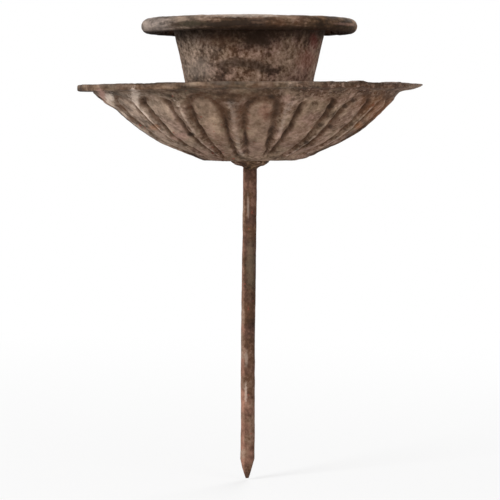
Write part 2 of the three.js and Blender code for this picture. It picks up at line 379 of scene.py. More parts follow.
def uneven_lip(radius, height, angle):
    """The lip sags, waves, has two bumps and thins to a wedge on its right, and the bowl's outline
    bulges, has a dent and stands out at its foot"""
    over = smooth_step(BOWL_RADIUS - 2 * MM, BOWL_RADIUS + 1.5 * MM, radius)
    ring = np.stack([np.cos(angle), np.sin(angle), 0 * angle], axis=-1)
    strips = np.cos((angle - PETAL_TURN) * PETAL_COUNT + math.pi)
    wave = LIP_WAVE * rough(ring, 0.3, 81, 2) + LIP_WAVE_OVER_STRIPS * np.maximum(strips, 0) ** 3
    height = height + (wave + local(angle, *LIP_BUMPS) - local(angle, *LIP_SAGS)) * over
    outward = np.clip((radius - BOWL_RADIUS) / (LIP_RADIUS - BOWL_RADIUS), 0, 1) ** 2
    lower = np.clip((LIP_TOP - height) / PAN_SHEET, 0, 1)
    thinner = WEDGE_UNDERSIDE_RISE * lower - WEDGE_TOP_DROP * (1 - lower)
    height = height + near(angle, *WEDGE) * outward * thinner
    radius = radius + LIP_EDGE_WAVE * over * rough(ring, 0.25, 91, 2)
    bulge = between(height, *LEFT_BULGE_HEIGHTS)
    bulge = bulge * smooth_step(BOWL_RADIUS + 2 * MM, BOWL_RADIUS, radius)
    dent = between(height, *RIGHT_DENT_HEIGHTS)
    heel = between(height, *RIGHT_HEEL_HEIGHTS)
    radius = radius + local(angle, LEFT_BULGE) * bulge - local(angle, RIGHT_DENT) * dent
    radius = radius + local(angle, RIGHT_HEEL) * heel
    return radius, height


def bowl_top():
    """Where the bowl's wall meets the rounding under the lip, and how steep it is there"""
    run = (1 - BOWL_BEND[0]) * (BOWL_RADIUS - PAN_FLOOR_RADIUS)
    rise = (1 - BOWL_BEND[1]) * (LIP_HEIGHT - LIP_CORNER)
    steepness = math.atan2(rise, run)
    drop = LIP_FILLET * (1 - math.cos(steepness))
    return (BOWL_RADIUS - (drop - LIP_CORNER) * run / rise, LIP_HEIGHT - drop), steepness


def drip_pan_piece(material):
    """The pan's section from its hole, out under the bowl, round the lip and back inside the bowl"""
    angle = turns(PAN_COLUMNS)
    foot = (PAN_FLOOR_RADIUS, 0)
    head, steepness = bowl_top()
    fillet = (head[0] + LIP_FILLET * math.sin(steepness), LIP_HEIGHT - LIP_FILLET)

    def bowl(count, distance):
        """Rows of the bowl's wall, some distance in from its outer side, with their marks"""
        place, inward, along = bezier(foot, head, BOWL_BEND, count)
        depth, *shares = petal_relief(angle, along[:, None], place[:, :1], along[-1])
        section = place[:, None, :] + (distance + depth)[..., None] * inward[:, None, :]
        return section, *shares, 0 * depth

    def plain(section, rim=1.0, edge=0.0):
        """Rows of an even part of the section, with their marks"""
        section = np.repeat(section[:, None, :], PAN_COLUMNS, axis=1)
        none = np.zeros(section.shape[:2])
        return section, none, none, none, none + rim, none + edge

    section, groove, petal, strip, rim, worn = [part[::-1] for part in bowl(44, PAN_SHEET)]
    inner_bowl = (section, 0.7 * groove, petal, 0 * strip, rim, worn)
    inner_head, inner_foot = section[0].mean(axis=0), section[-1].mean(axis=0)
    edge, rounded = LIP_RADIUS - LIP_EDGE_ROUND, LIP_EDGE_ROUND
    outer_parts = [
        plain(line((PAN_HOLE_RADIUS, 0), foot, 14)[:-1], 0.0),
        bowl(90, 0),
        plain(arc(fillet, LIP_FILLET, 90 + math.degrees(steepness), 90, 7)[1:]),
        plain(line((fillet[0], LIP_HEIGHT), (edge, LIP_HEIGHT), 8)[1:-1]),
        plain(arc((edge, LIP_HEIGHT + rounded), rounded, -90, 0, 4), 1.0, 0.7),
        plain(arc((edge, LIP_TOP - rounded), rounded, 0, 90, 4), 1.0, 1.0),
    ]
    inner_parts = [
        plain(line((edge, LIP_TOP), (inner_head[0] + 2 * LIP_CORNER, LIP_TOP), 9)[1:]),
        inner_bowl,
        plain(line((inner_foot[0], PAN_SHEET), (PAN_HOLE_RADIUS, PAN_SHEET), 12)[1:], 0.0),
    ]
    parts = zip(*outer_parts, *inner_parts)
    section, groove, petal, strip, rim, worn = [np.concatenate(share) for share in parts]
    outer_rows = sum(len(part[0]) for part in outer_parts)
    outer = (np.arange(len(section))[:, None] < outer_rows) + 0 * groove
    radius, height = uneven_lip(section[..., 0], section[..., 1], angle)
    grid = around(np.stack([radius, height], axis=-1), angle)
    grid, hollow = roughened(grid, swell=0.1 * MM, grain=0.06 * MM, pits=0.12 * MM, seed=51)
    marks = {"hollow": hollow, "groove": groove, "petal": petal, "raised": strip, "rim": rim}
    marks |= {"edge": worn, "outer": outer}
    grid_piece("drip_pan_rusty", grid, marks, material, "drip_pan")


def candle_cup_piece(material):
    """The cup's section from its hole, out and up under the flange, round the roll and back inside"""
    angle = turns(CUP_COLUMNS)
    floor, top = cup_low[2], cup_high[2]
    hole = SHANK_RADIUS + HOLE_PLAY
    base = (CUP_BASE_RADIUS - CUP_BASE_ROUND, floor + CUP_BASE_ROUND)
    under = top - CUP_SHEET
    throat = (THROAT_RADIUS + THROAT_ROUND, under - THROAT_ROUND)
    roll = (cup_high[0] - ROLL_RADIUS, top - ROLL_RADIUS)
    wall, inward, _ = bezier((CUP_BASE_RADIUS, base[1]), (THROAT_RADIUS, throat[1]), CUP_BEND, 66)
    outer_section = np.concatenate([
        line((hole, floor), (base[0], floor), 12)[:-1],
        arc(base, CUP_BASE_ROUND, -90, 0, 8),
        wall[1:-1],
        arc(throat, THROAT_ROUND, 180, 90, 7),
        line((throat[0], under), (roll[0], under), 8)[1:-1],
    ])
    section = np.concatenate([
        outer_section,
        arc(roll, ROLL_RADIUS - CUP_SHEET, 90, -190, 12),
        arc(roll, ROLL_RADIUS, -190, 90, 40),
        line((roll[0], top), (throat[0], top), 10)[1:-1],
        arc(throat, THROAT_ROUND + CUP_SHEET, 90, 180, 9),
        (wall + CUP_SHEET * inward)[1:-1][::-2],
        arc(base, CUP_BASE_ROUND - CUP_SHEET, 0, -90, 6),
        line((base[0], floor + CUP_SHEET), (hole, floor + CUP_SHEET), 10)[1:],
    ])
    grid = around(section[:, None, :], angle)
    outside = np.arange(len(section))[:, None] < len(outer_section)
    # Painted shade: dark on the wall under the flange and on the lower half of the rolled edge, with less
    # of it on the left front
    clear = local(angle, CUP_CLEAR)
    shade = smooth_step(CUP_SHADE_FROM + clear, CUP_SHADE_TO + clear, grid[..., 2]) * outside
    bead_low = smooth_step(roll[1] - 0.3 * MM - clear, roll[1] - 1.5 * MM - clear, grid[..., 2])
    bead_low = bead_low * smooth_step(roll[0] - 3 * MM, roll[0], from_axis(grid))
    grid, hollow = roughened(grid, swell=0.05 * MM, grain=0.05 * MM, pits=0.07 * MM, seed=151)
    bend = FLANGE_WAVE * lumps(grid * (1, 1, 0), 18 * MM, 181) - FLANGE_TILT * grid[..., 0]
    grid[..., 2] += bend * smooth_step(THROAT_RADIUS, roll[0], from_axis(grid))
    grid[..., 0] -= local(angle, CUP_LEFT_BULGE)
    bead = smooth_step(roll[0] - 0.8 * MM, roll[0] + 0.4 * MM, from_axis(grid)) * ~outside
    marks = {"hollow": hollow, "shade": np.maximum(shade, bead_low), "bead": bead}
    marks["outer"] = np.maximum(bead, outside)
    grid_piece("candle_cup_rusty", grid, marks, material, "candle_cup")


def nail_piece(material):
    """A column of rings: the head in the cup, the shank, and a point with four flats"""
    angle = turns(48)
    tip, head_low, head_top = nail_low[2], washer_high[2], nail_high[2]
    over_point = tip + POINT_LENGTH * 1.2
    section = np.concatenate([
        [(AXIS_RADIUS, tip)],
        line((SHANK_RADIUS, tip), (SHANK_RADIUS, over_point), 26)[:-1],
        line((SHANK_RADIUS, over_point), (SHANK_RADIUS, -0.3 * MM), 230),
        line((SHANK_RADIUS, 0), (SHANK_RADIUS, head_low), 6),
        line((SHANK_RADIUS, head_low), (HEAD_RADIUS, head_low), 5)[1:],
        line((HEAD_RADIUS, head_low), (HEAD_RADIUS, head_top - HEAD_ROUND), 4)[1:],
        arc((HEAD_RADIUS - HEAD_ROUND, head_top - HEAD_ROUND), HEAD_ROUND, 0, 90, 4)[1:],
        line((HEAD_RADIUS - HEAD_ROUND, head_top), (AXIS_RADIUS, head_top), 10)[1:],
    ])
    radius = section[:, :1] + 0 * angle
    height = section[:, 1:] + 0 * angle
    flat = POINT_BLUNT + (SHANK_RADIUS - POINT_BLUNT) * (height - tip) / POINT_LENGTH
    facing = (angle + math.pi / 4) % (math.pi / 2) - math.pi / 4
    at_point = height < tip + POINT_LENGTH * 1.5
    radius = np.where(at_point, np.minimum(radius, flat / np.cos(facing)), radius)
    grid = around(np.stack([radius, height], axis=-1), angle)
    drawn = grid * (1, 1, 0.4)
    fine = rough(drawn, 1.1 * MM, 261, 3)
    swell = 0.05 * MM * rough(drawn, 3 * MM, 251, 2)
    coat = COAT * smooth_step(-1 * MM, -2.5 * MM, height)
    free = smooth_step(AXIS_RADIUS, 1 * MM, radius)[..., None]
    grid = grid + (coat + 0.045 * MM * fine + swell)[..., None] * free * grid_normals(grid)
    down = -grid[..., 2]
    grid[..., 0] -= SPIKE_LEAN * smooth_step(0, 55 * MM, down)
    grid[..., 0] -= POINT_LEAN * smooth_step(68 * MM, 82 * MM, down)
    marks = {"hollow": 0.6 * smooth_step(0.2, 0.9, -fine), "outer": 1 + 0 * fine}
    grid_piece("nail_rusty", grid, marks, material, "nail_spike")


def washer_piece(material):
    """A flat washer with bevelled edges and a rough upper face"""
    low, high, outer = washer_low[2], washer_high[2], washer_high[0]
    hole = SHANK_RADIUS + HOLE_PLAY
    section = np.concatenate([
        line((hole, low), (outer - WASHER_BEVEL, low), 8),
        line((outer, low + WASHER_BEVEL), (outer, high - WASHER_BEVEL), 4),
        line((outer - WASHER_BEVEL, high), (hole, high), 10),
    ])
    grid = around(section[:, None, :], turns(96))
    fine = rough(grid, 1.1 * MM, 361, 3)
    upper = smooth_step(low, high, grid[..., 2])
    grid = grid + (0.04 * MM * fine * upper)[..., None] * grid_normals(grid)
    marks = {"hollow": 0.6 * smooth_step(0.2, 0.9, -fine)}
    grid_piece("head_washer_rusty", grid, marks, material, "head_washer")


def weld_piece(material):
    """A lumpy mound of weld with a hollow foot, round the shank and under the pan"""
    outer, depth = weld_high[0], weld_high[2] - weld_low[2]
    share = np.linspace(0, 1, 26)
    toe = SHANK_RADIUS + HOLE_PLAY
    inner = SHANK_RADIUS - 0.25 * MM
    mound = np.stack([toe + (outer - toe) / 2 * (1 + np.cos(share * math.pi)), -depth * share], axis=1)
    section = np.concatenate([
        mound,
        line((inner, -depth), (inner, WELD_OVERLAP), 6),
        line((SHANK_RADIUS, WELD_OVERLAP), (outer, WELD_OVERLAP), 8)[:-1],
    ])[::-1]
    grid = around(section[:, None, :], turns(120))
    fine = rough(grid, 1.2 * MM, 461, 3)
    swell = 0.4 * MM * rough(grid * (1, 1, 1.6), 3.2 * MM, 451, 2)
    free = smooth_step(-0.05 * MM, -0.5 * MM, grid[..., 2])
    free = free * smooth_step(0.9, 1.15, from_axis(grid) / SHANK_RADIUS)
    grid = grid + ((swell + 0.18 * MM * fine) * free)[..., None] * grid_normals(grid)
    marks = {"hollow": smooth_step(0.0, 0.9, -fine)}
    grid_piece("weld_rusty", grid, marks, material, "weld_bead")


def srgb(red, green, blue):
    """A colour given as 0 to 255 sRGB, in linear light"""
    return tuple(((level / 255 + 0.055) / 1.055) ** 2.4 for level in (red, green, blue)) + (1.0,)


class Shader:
    """A material's node tree, with one short call for each kind of node"""

    def __init__(self, name):
        self.material = bpy.data.materials.new(name)
        self.material.use_nodes = True
        self.tree = self.material.node_tree
        self.tree.nodes.clear()
        place = self.add("ShaderNodeTexCoord").outputs["Object"]
        self.place = self.vector("SCALE", place, scale=1 / MM)

    def add(self, kind, **settings):
        node = self.tree.nodes.new(kind)
        for name, value in settings.items():
            setattr(node, name, value)
        return node

    def put(self, socket, value):
        if isinstance(value, bpy.types.NodeSocket):
            self.tree.links.new(value, socket)
        else:
            socket.default_value = value

    def vector(self, operation, first, second=(0, 0, 0), scale=1.0):
        node = self.add("ShaderNodeVectorMath", operation=operation)
        self.put(node.inputs[0], first)
        if operation == "SCALE":
            node.inputs["Scale"].default_value = scale
        elif operation != "LENGTH":
            self.put(node.inputs[1], second)
        return node.outputs["Value" if operation == "LENGTH" else "Vector"]

    def noise(self, size, detail=3.0, roughness=0.55, stretch=(1, 1, 1), seed=0.0):
        """Noise with lumps about size millimetres across, flattened along an axis by stretch"""
        mapping = self.add("ShaderNodeMapping")
        self.put(mapping.inputs["Vector"], self.place)
        mapping.inputs["Scale"].default_value = stretch
        mapping.inputs["Location"].default_value = (seed, seed, seed)
        node = self.add("ShaderNodeTexNoise")
        self.put(node.inputs["Vector"], mapping.outputs[0])
        node.inputs["Scale"].default_value = 1 / size
        node.inputs["Detail"].default_value = detail
        node.inputs["Roughness"].default_value = roughness
        return node.outputs["Fac"]

    def mark(self, name):
        node = self.add("ShaderNodeAttribute", attribute_name=name)
        return node.outputs["Fac"]

    def span(self, value, low, high, to_low=0.0, to_high=1.0):
        """The value's share of the way from low to high, within its limits"""
        node = self.add("ShaderNodeMapRange", interpolation_type="SMOOTHSTEP")
        self.put(node.inputs["Value"], value)
        node.inputs["From Min"].default_value = min(low, high)
        node.inputs["From Max"].default_value = max(low, high)
        node.inputs["To Min"].default_value = to_low if low < high else to_high
        node.inputs["To Max"].default_value = to_high if low < high else to_low
        return node.outputs["Result"]

    def math(self, operation, first, second=0.0):
        node = self.add("ShaderNodeMath", operation=operation)
        self.put(node.inputs[0], first)
        self.put(node.inputs[1], second)
        return node.outputs[0]

    def both(self, first, *others):
        """The product of shares: high only where all of them are"""
        for other in others:
            first = self.math("MULTIPLY", first, other)
        return first

    def sum(self, *weighted):
        """Noises, each less its middle and times its weight, added to a half"""
        total = 0.5
        for value, weight in weighted:
            centred = self.math("SUBTRACT", value, 0.5)
            total = self.math("ADD", self.math("MULTIPLY", centred, weight), total)
        return total

    def mix(self, share, first, second, blend="MIX"):
        node = self.add("ShaderNodeMix", data_type="RGBA", blend_type=blend)
        self.put(node.inputs["Factor"], share)
        self.put(node.inputs["A"], first)
        self.put(node.inputs["B"], second)
        return node.outputs["Result"]

    def ramp(self, value, *stops):
        """A colour from stops of place and colour"""
        node = self.add("ShaderNodeValToRGB")
        self.put(node.inputs["Fac"], value)
        elements = node.color_ramp.elements
        while len(elements) < len(stops):
            elements.new(0.5)
        for element, (place, colour) in zip(elements, stops):
            element.position = place
            element.color = colour
        return node.outputs["Color"]

    def spot(self, x, z, half_width, half_height, ragged=0.5, depth=5.0):
        """1 within a ragged oval on the front of the outer side, and 0 elsewhere. In millimetres."""
        centred = self.vector("SUBTRACT", self.place, (x, 0, z))
        flat = self.vector("MULTIPLY", centred, (1 / half_width, 0, 1 / half_height))
        size = min(half_width, half_height)
        wander = self.sum((self.noise(0.7 * size + 0.4, 5, 0.7, seed=x), 4 * ragged))
        reach = self.math("ADD", self.vector("LENGTH", flat), wander)
        split = self.add("ShaderNodeSeparateXYZ")
        self.put(split.inputs[0], self.place)
        front = self.math("MULTIPLY", self.span(split.outputs["Y"], 0, -depth), self.mark("outer"))
        return self.math("MULTIPLY", front, self.span(reach, 1.9, 0.9))

    def finish(self, colour, roughness, height):
        """The material of a matt surface with a bump"""
        surface = self.add("ShaderNodeBsdfPrincipled")
        self.put(surface.inputs["Base Color"], colour)
        self.put(surface.inputs["Roughness"], roughness)
        surface.inputs["Specular IOR Level"].default_value = SPECULAR_LEVEL
        node = self.add("ShaderNodeBump")
        node.inputs["Strength"].default_value = 1.0
        node.inputs["Distance"].default_value = BUMP_DEPTH
        self.put(node.inputs["Height"], height)
        self.put(surface.inputs["Normal"], node.outputs[0])
        output = self.add("ShaderNodeOutputMaterial")
        self.put(output.inputs["Surface"], surface.outputs[0])
        return self.material


BLACK_BROWN = srgb(45, 31, 21)
DARK_BROWN = srgb(85, 59, 42)
MID_BROWN = srgb(133, 107, 90)
LIGHT_BROWN = srgb(167, 139, 122)
PALE_SCUFF = srgb(221, 201, 185)
PINK = srgb(181, 142, 128)
OLIVE = srgb(137, 118, 95)
RED_RUST = srgb(132, 63, 50)
DEEP_RED = srgb(95, 35, 31)
ORANGE_RUST = srgb(172, 107, 58)
RED_BROWN = srgb(169, 122, 102)
GREY_BROWN = srgb(149, 131, 115)
WARM_GREY = srgb(152, 137, 127)
DARK_OLIVE = srgb(62, 54, 40)
WARM_OLIVE = srgb(142, 110, 78)

# Places on the front are ovals: across, up, half width and half height, in millimetres. Then comes
# how much lighter the coat is there and, where it isn't 0.5, how ragged the oval is. The cup's
# second table comes after the streaks of its rolled edge.
PAN_TONES = (
    # Painted shade of the lip on the band's right
    (28, 18, 17, 1.8, -0.06),
    (31.5, 16.8, 5, 1.0, -0.16),
    (9.2, 16.2, 1.8, 2.2, 0.12),
    (25, 16.8, 2.4, 1.2, 0.14),
    (13, 9.5, 3.2, 4.0, 0.1),
    (-19.5, 9, 2.6, 3.4, 0.07),
    (25, 7, 5, 3.4, -0.1),
    (13, 4, 2.5, 2.2, -0.12),
    (-9, 10, 2.2, 2.8, 0.14),
    (3.6, 14, 2.4, 1.6, 0.09),
    (-4.2, 12, 1.8, 2.6, -0.18),
    (4.6, 11.8, 1.3, 2.0, -0.1),
    (22, 14.2, 1.3, 1.5, 0.14, 0.9),
    (30, 11.2, 1.2, 1.0, 0.12, 0.9),
    # Painted highlight with wear at the far left under the lip
    (-35.5, 15.0, 2.6, 1.6, 0.12, 0.8),
    (-42.5, 17.9, 3.5, 0.6, -0.14),
    (-15, 18.3, 6, 1.2, -0.06),
    (14, 18.3, 6, 1.2, -0.06),
    (30, 12.5, 4, 4, -0.07),
    (-27, 7.5, 5, 5, -0.06),
    (-19, 15, 2.6, 2, -0.06),
)
CUP_TONES = (
    (12, 25.5, 7, 7, 0.09),
    (-12.5, 21.2, 2.5, 1.6, -0.08),
    (-4, 21.2, 2.5, 1.2, 0.1),
    (-14, 27, 3, 6, -0.02),
    (3, 26, 7, 6, -0.07),
    (-6.5, 24.5, 6.5, 5, -0.06),
    (14.5, 22, 3, 3, 0.05),
)
CUP_TONES_OVER_STREAKS = (
    # Painted shade on the lower half of the rolled edge
    (2, 33.9, 21, 1.0, -0.19),
    (4, 35.5, 22, 3.5, -0.08),
    (22, 34.5, 6, 2.5, -0.16),
    # Painted light on the rolled edge's left end
    (-23.5, 34.4, 5, 1.6, 0.09),
    (-10.5, 33.9, 7.5, 0.9, -0.2),
    (-15, 35.8, 3, 0.7, 0.08),
    (-7.5, 29, 2.4, 1.8, -0.14),
    (12.5, 29.6, 2.6, 2.4, -0.14),
)

# Stains are ovals too, with a colour and how strong it is. The pan's first are rust, the next worn
# or darkened places, the worn ones on the left with painted highlights, and the last small pits, a
# line that slants down to the right over the petal left of the middle, and dark places on the front
# and along the lip's edge. The cup's rolled edge has painted highlights along its top among its
# stains. On the cup's wall five of them make a dark arc.
PAN_RUST_STAINS = (
    (32, 13.5, 5, 4, ORANGE_RUST, 0.17),
    (27.3, 9.0, 1.3, 0.9, ORANGE_RUST, 0.3),
    (-24, 8.6, 1.5, 0.8, ORANGE_RUST, 0.25),
    (3.6, 12.5, 1.6, 2.2, RED_RUST, 0.2),
)
PAN_WORN_STAINS_AND_HIGHLIGHTS = (
    # Wear with painted highlights on the lit left
    (-37.3, 16.5, 1.2, 1.6, PINK, 0.8),
    (-35.3, 16.0, 1.2, 1.1, PALE_SCUFF, 0.85, 0.8),
    (-28.3, 16.0, 1.2, 2.0, PALE_SCUFF, 0.6, 1.0),
    (-3.6, 9.5, 1.3, 4.5, MID_BROWN, 0.45),
    (-17.5, 6.2, 2.4, 1.0, PINK, 0.4),
    (-32.6, 13.5, 2.2, 0.9, DARK_BROWN, 0.6),
    (-30.2, 10.6, 1.8, 0.9, DARK_BROWN, 0.6),
)
PITS = ((19.7, 13.8), (17.3, 9.2), (20.0, 8.8), (23.3, 13.8), (25.3, 15.2), (14.0, 4.8))
SLANTING_LINE = ((-11.6, 16.7), (-9.8, 15.9), (-8.0, 14.9))
PAN_DARK_STAINS = (
    (-14.6, 6.9, 0.9, 0.6, BLACK_BROWN, 0.9),
    (5.2, 15.9, 0.9, 0.6, BLACK_BROWN, 0.8),
    *((x, z, 0.8, 0.6, BLACK_BROWN, 0.7) for x, z in PITS),
    *((x, z, 1.3, 0.55, DARK_BROWN, 0.7) for x, z in SLANTING_LINE),
    (0.5, 16.3, 1.9, 0.8, DARK_BROWN, 0.7),
    (-7.0, 13.0, 1.6, 3.0, DARK_BROWN, 0.6),
    (-2.4, 14.5, 1.2, 3.0, DARK_BROWN, 0.5),
    (6.5, 13.4, 1.0, 2.6, BLACK_BROWN, 0.4),
    (31, 19.5, 13, 0.7, BLACK_BROWN, 0.7),
    (-24, 19.3, 7, 0.5, BLACK_BROWN, 0.8),
    (-36, 19.4, 6, 0.3, BLACK_BROWN, 0.5),
)
CUP_EDGE_STAINS_AND_HIGHLIGHTS = (
    # Painted highlights along the top of the rolled edge
    (-2.5, 36.4, 10, 0.8, PALE_SCUFF, 0.55),
    (4.5, 35.9, 2.5, 0.4, PALE_SCUFF, 0.3),
    (-14.5, 34.1, 4, 0.7, DARK_OLIVE, 0.6),
    (-18.6, 33.7, 1.6, 0.7, BLACK_BROWN, 0.7),
    (24, 34.4, 3, 0.35, PINK, 0.3),
)
CUP_WALL_STAINS = (
    (-13, 23.5, 4, 2.5, PALE_SCUFF, 0.15),
    (-6.6, 24.0, 1.7, 1.5, BLACK_BROWN, 0.7),
    (-3.6, 24.8, 2.8, 1.3, BLACK_BROWN, 0.75),
    (0.2, 24.3, 2.6, 1.2, BLACK_BROWN, 0.7),
    (3.0, 23.4, 2.4, 1.1, BLACK_BROWN, 0.7),
    (5.8, 22.6, 2.0, 0.9, BLACK_BROWN, 0.75),
    (1.8, 30.4, 4.4, 2.4, BLACK_BROWN, 0.9),
    (-7.5, 30.6, 5, 1.8, DARK_BROWN, 0.6),
    (14.2, 25.5, 2.6, 2.6, RED_RUST, 0.25),
)


class Rust(Shader):
    """The weathered rust-brown coat that every piece wears, in layers"""

    def __init__(self, name, seed, lightness=0.0, contrast=1.0, grainy=0.8, streaked=0.3):
        super().__init__(name)
        self.seed = seed
        self.patches = self.noise(9, 3, 0.55, seed=seed)
        self.blotches = self.noise(3, 6, 0.68, seed=seed + 7)
        self.grain = self.noise(0.85, 3, 0.6, seed=seed + 13)
        self.streaks = self.noise(1.3, 4, 0.6, (1, 1, 0.35), seed + 17)
        layers = ((self.patches, 0.5), (self.blotches, 1.1), (self.grain, grainy), (self.streaks, streaked))
        tone = self.sum(*((layer, weight * contrast) for layer, weight in layers))
        self.tone = self.math("ADD", tone, lightness)

    def lighten(self, share, amount):
        """The coat lighter or darker within a share, with its mottling kept. Comes before the coat."""
        self.tone = self.math("ADD", self.tone, self.both(share, amount))

    def calm(self, share, level):
        """The coat's mottling is weaker within a share, about one level. Comes before the coat."""
        self.lighten(share, self.math("SUBTRACT", level, self.tone))

    def coat(self):
        """The coat's colour from its tone, dark to light"""
        self.colour = self.ramp(
            self.tone,
            (0.08, BLACK_BROWN),
            (0.3, DARK_BROWN),
            (0.5, MID_BROWN),
            (0.7, LIGHT_BROWN),
            (0.95, PALE_SCUFF),
        )

    def tint(self, colour, strength, size, seed):
        """Patches of another hue, no lighter or darker than the coat"""
        self.hue(self.span(self.noise(size, 3, 0.6, seed=self.seed + seed), 0.42, 0.62), colour, strength)

    def hue(self, share, colour, strength=1.0):
        """Another hue within a share, no lighter or darker than the coat"""
        self.colour = self.mix(self.both(share, strength), self.colour, colour, "COLOR")

    def lay(self, share, colour, strength=1.0):
        """A colour over the coat within a share"""
        self.colour = self.mix(self.both(share, strength), self.colour, colour)

    def lighten_ovals(self, ovals):
        """The coat lighter or darker in ovals on the front. Comes before the coat."""
        for x, z, half_width, half_height, amount, *ragged in ovals:
            self.lighten(self.spot(x, z, half_width, half_height, *ragged), amount)

    def lay_ovals(self, ovals):
        """Stains over the coat in ovals on the front"""
        for x, z, half_width, half_height, colour, strength, *ragged in ovals:
            self.lay(self.spot(x, z, half_width, half_height, *ragged), colour, strength)

    def ragged(self, value, low, high, amount=0.6, size=1.3):
        """A mark's share between low and high, broken up by noise"""
        broken = self.noise(size, 4, 0.65, seed=self.seed + 41)
        added = self.math("MULTIPLY", self.math("SUBTRACT", broken, 0.5), 2 * amount)
        return self.span(self.math("ADD", value, added), low, high)

    def rust_spots(self, colour, size, amount, seed):
        """Scattered spots of a colour: the larger the amount, the more there are"""
        share = self.noise(size, 3, 0.6, seed=self.seed + seed)
        self.lay(self.span(share, 0.72 - amount, 0.8 - amount), colour, 0.7)

    def way(self, axis, low, high):
        """The share of the way from one place on an axis to another, in millimetres"""
        split = self.add("ShaderNodeSeparateXYZ")
        self.put(split.inputs[0], self.place)
        return self.span(split.outputs[axis], low, high)

    def brushed(self, share, lightness):
        """Within a share the coat is calmer, with soft level streaks. Comes before the coat."""
        streaks = self.noise(1.5, 3, 0.55, (0.28, 0.28, 1.3), self.seed + 67)
        calm = self.sum((self.patches, 0.5), (streaks, 1.0), (self.grain, 0.3))
        step = self.math("SUBTRACT", self.math("ADD", calm, lightness), self.tone)
        self.tone = self.math("ADD", self.tone, self.both(share, step))

    def done(self):
        """The finished material, with its grain and blotches as roughness and bump"""
        roughness = self.span(self.grain, 0.3, 0.75, 0.95, 0.75)
        height = self.sum((self.grain, 0.9), (self.blotches, 0.9))
        return self.finish(self.colour, roughness, height)


def pan_tone(rust, left, left_wear_and_highlight, rim, band):
    """Where the pan's coat is lighter, darker or calmer. Its left front is lighter in painted light, and
    its flanks at the sides are darker below the band in painted shade.
    """
    rust.brushed(rust.both(band, 0.6), -0.12)
    rust.lighten(rust.both(band, rust.way("X", -12, -26)), -0.05)
    rust.calm(rust.both(rust.mark("petal"), rust.way("X", -18, -12), rust.way("X", 16, 10), 0.35), 0.4)
    rust.lighten(rust.mark("petal"), 0.05)
    # Painted light: the pan's left front is lighter
    rust.lighten(left, 0.09)
    rust.lighten(rim, -0.1)
    rust.lighten(rust.both(rim, rust.way("X", 5, 20)), 0.1)
    rust.lighten(rust.both(rim, rust.way("X", -10, -20)), 0.05)
    rust.lighten(rust.ragged(rust.mark("raised"), 0.3, 1.2), 0.08)
    # Wear and painted highlights on the raised strips of the left
    rust.lighten(rust.ragged(left_wear_and_highlight, 0.1, 0.9, 1.2), 0.12)
    rust.lighten_ovals(PAN_TONES)
    # Painted shade on the flanks at the sides, below the band
    shaded_flank = rust.both(rust.way("Y", -9, -3), rust.way("Y", 14, 6), rust.mark("outer"))
    rust.lighten(rust.both(shaded_flank, rust.way("Z", 16, 12)), -0.12)
    rust.lighten(rust.both(shaded_flank, rust.way("Z", 15, 13), rust.way("X", -8, -20)), -0.12)


def pan_hues(rust, band):
    """The pan's hues, which make it no lighter or darker"""
    rust.tint(PINK, 0.4, 6, 3)
    rust.tint(OLIVE, 0.5, 7, 5)
    rust.hue(rust.both(band, rust.way("X", 24, 4)), OLIVE, 0.3)
    left_front = rust.both(rust.way("X", -8, -30), rust.way("Y", -3, -8), rust.way("Z", 18, 16.5))
    rust.hue(rust.both(left_front, rust.mark("outer")), GREY_BROWN, 0.75)
    rust.hue(rust.spot(-10, 12.5, 4.5, 5), OLIVE, 0.5)
    rust.hue(rust.spot(3, 10, 4.5, 6), OLIVE, 0.3)


def pan_stains(rust, left_wear_and_highlight, band):
    """Spots of rust, specks on the band's right, stained and worn places, and wear with painted highlights
    on the left's strips
    """
    rust.rust_spots(RED_RUST, 2.2, 0.055, 23)
    band_right = rust.both(band, rust.way("X", 0, 12))
    dark_specks = rust.span(rust.noise(1.3, 4, 0.7, seed=83), 0.53, 0.6)
    pale_specks = rust.span(rust.noise(1.0, 4, 0.7, seed=87), 0.55, 0.62)
    rust.lay(rust.both(band_right, dark_specks), BLACK_BROWN, 0.55)
    rust.lay(rust.both(band_right, pale_specks), LIGHT_BROWN, 0.5)
    rust.lay_ovals(PAN_RUST_STAINS)
    rust.lay(rust.ragged(rust.mark("raised"), 0.6, 1.3, 0.9), PALE_SCUFF, 0.22)
    # Wear and painted highlights on the raised strips of the left
    rust.lay(rust.ragged(left_wear_and_highlight, 0.4, 1.1, 1.2), PALE_SCUFF, 0.3)
    rust.lay_ovals(PAN_WORN_STAINS_AND_HIGHLIGHTS)


def pan_wear(rust):
    """Scuffs on the lip's edge, dark hollows and pits, and grooves dark with gathered paint and painted
    shade
    """
    rust.lay(rust.ragged(rust.mark("edge"), 0.7, 1.4, 0.9, 3), PALE_SCUFF, 0.12)
    rust.lay(rust.ragged(rust.mark("hollow"), 0.6, 1.1, 0.4), BLACK_BROWN, 0.4)
    rust.lay(rust.span(rust.noise(1.5, 4, 0.7, seed=29), 0.6, 0.7), BLACK_BROWN, 0.35)
    # The grooves: their gathered paint, with painted shade in and round them
    rust.lay(rust.ragged(rust.mark("groove"), 0.1, 0.6, 0.5), DARK_BROWN, 0.7)
    rust.lay(rust.ragged(rust.mark("groove"), 0.5, 1.1, 0.7), BLACK_BROWN, 0.7)
    rust.lay_ovals(PAN_DARK_STAINS)


